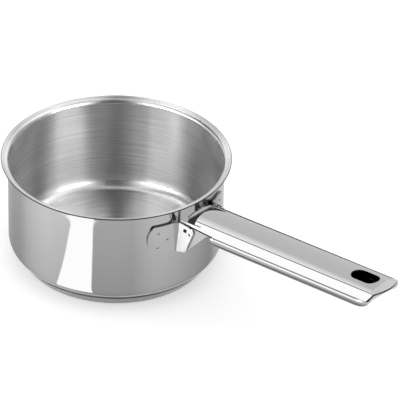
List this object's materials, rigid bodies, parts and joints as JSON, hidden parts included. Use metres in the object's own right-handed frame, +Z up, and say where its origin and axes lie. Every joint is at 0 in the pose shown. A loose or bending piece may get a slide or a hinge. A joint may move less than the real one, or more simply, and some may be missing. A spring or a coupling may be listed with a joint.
{
  "type": "milk pan",
  "caption": "Stainless steel milk pan with a flared pouring rim, a capsule base and a long pressed hollow handle with a hanging slot.",
  "frame": {"origin": "on the pan's axis, on the flat underside of the base", "axes": "+Z up along the pan's axis, +X from the pan's axis towards the handle's tip, +Y to the left of someone looking along +X"},
  "size_m": [0.3102, 0.1506, 0.0887],
  "materials": {
    "pan_steel": "mirror polished outside, circular brushed inside",
    "base_steel": "satin, turned",
    "core_aluminium": "plain",
    "bracket_steel": "polished",
    "handle_steel": "mirror polished"
  },
  "bodies": {
    "root": {"pan_body": "pan_steel", "base_core_disc": "core_aluminium", "base_cap": "base_steel", "handle_bracket": "bracket_steel", "handle_top_shell": "handle_steel", "handle_bottom_shell": "handle_steel"}
  },
  "joints": []
}
